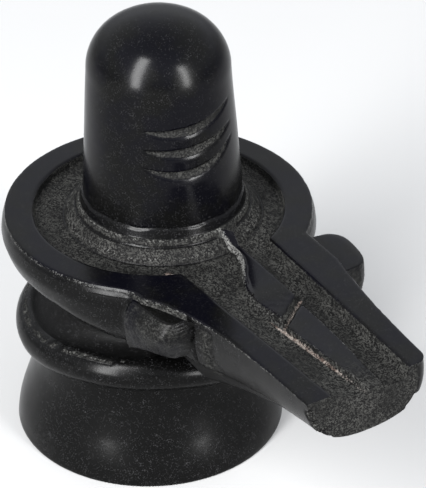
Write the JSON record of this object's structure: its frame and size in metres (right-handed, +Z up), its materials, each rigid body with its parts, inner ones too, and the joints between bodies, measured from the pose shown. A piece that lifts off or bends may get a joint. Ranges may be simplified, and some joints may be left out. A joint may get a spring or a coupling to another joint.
{
  "type": "shiva lingam",
  "caption": "Small carved black-stone shiva lingam: domed shaft on a collar in a shallow round dish with an open channelled spout, on a necked, flared foot.",
  "frame": {"origin": "on the lingam's own axis, in the plane of the foot's flat underside", "axes": "+Z up along the lingam, +X out along the spout, +Y across it"},
  "size_m": [0.1108, 0.0678, 0.0997],
  "materials": {
    "stone": "black stone, dull polish on raised faces, matt and pale-speckled where it was only cut"
  },
  "bodies": {
    "root": {"shiva_lingam": "stone"}
  },
  "joints": []
}
